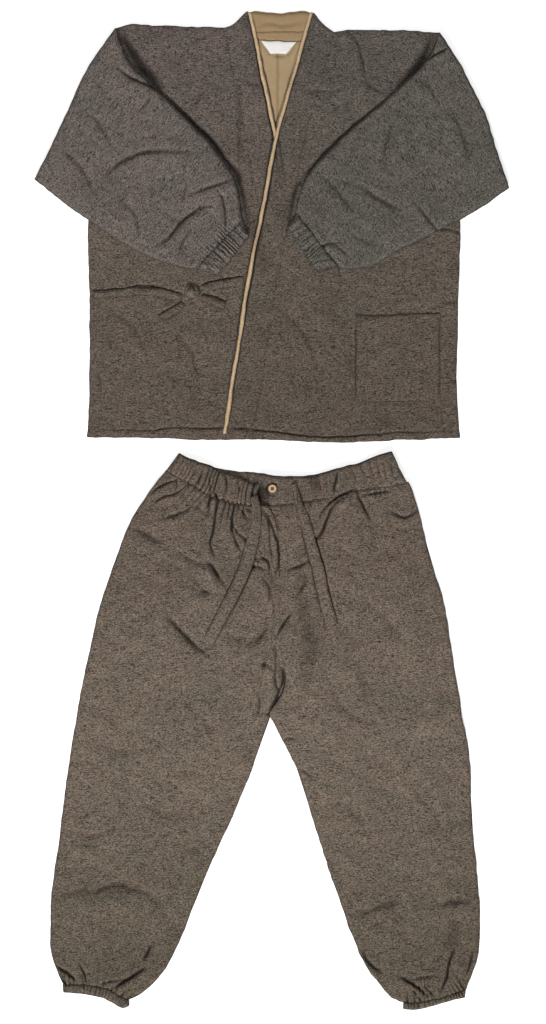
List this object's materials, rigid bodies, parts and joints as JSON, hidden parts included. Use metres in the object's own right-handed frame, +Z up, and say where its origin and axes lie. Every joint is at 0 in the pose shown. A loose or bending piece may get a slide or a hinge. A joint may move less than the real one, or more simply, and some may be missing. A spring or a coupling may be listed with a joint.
{
  "type": "samue set of jacket and trousers laid flat",
  "caption": "Japanese work suit laid flat and face up: a wrapped, lined jacket with piped collar and folded sleeves, above gathered trousers with a drawstring.",
  "frame": {"origin": "middle of the whole set's outline, on the table it lies on", "axes": "+Y towards the jacket's collar, +X towards the wearer's left side, +Z up from the table"},
  "size_m": [0.8498, 1.796, 0.0181],
  "materials": {
    "cloth": "heathered brown-grey plain weave with slubs, matt",
    "lining": "tan lining cloth with a soft sheen",
    "piping": "tan piping, smooth",
    "label": "bare white woven label",
    "button": "tan button, slightly glossy"
  },
  "bodies": {
    "root": {"jacket_back_right": "cloth", "jacket_back_left": "cloth", "collar_back": "cloth", "jacket_front_right": "cloth", "jacket_front_left": "cloth", "collar_right": "cloth", "collar_left": "cloth", "pocket": "cloth", "sleeve_right": "cloth", "sleeve_left": "cloth", "sleeve_cuff_right": "cloth", "sleeve_cuff_left": "cloth", "sleeve_armhole_right": "cloth", "sleeve_armhole_left": "cloth", "tie_side": "cloth", "tie_front": "cloth", "tie_tail_right": "cloth", "tie_tail_left": "cloth", "tie_knot": "cloth", "trouser_back_right": "cloth", "trouser_back_left": "cloth", "trouser_front_right": "cloth", "trouser_front_left": "cloth", "leg_band_right": "cloth", "leg_band_left": "cloth", "waistband_back": "cloth", "waistband_front_right": "cloth", "waistband_front_left": "cloth", "fly_edge": "cloth", "drawstring_right": "cloth", "drawstring_left": "cloth", "lining_right": "lining", "lining_left": "lining", "collar_facing": "lining", "neck_band": "lining", "piping_right": "piping", "piping_left": "piping", "label": "label", "button": "button"}
  },
  "joints": []
}
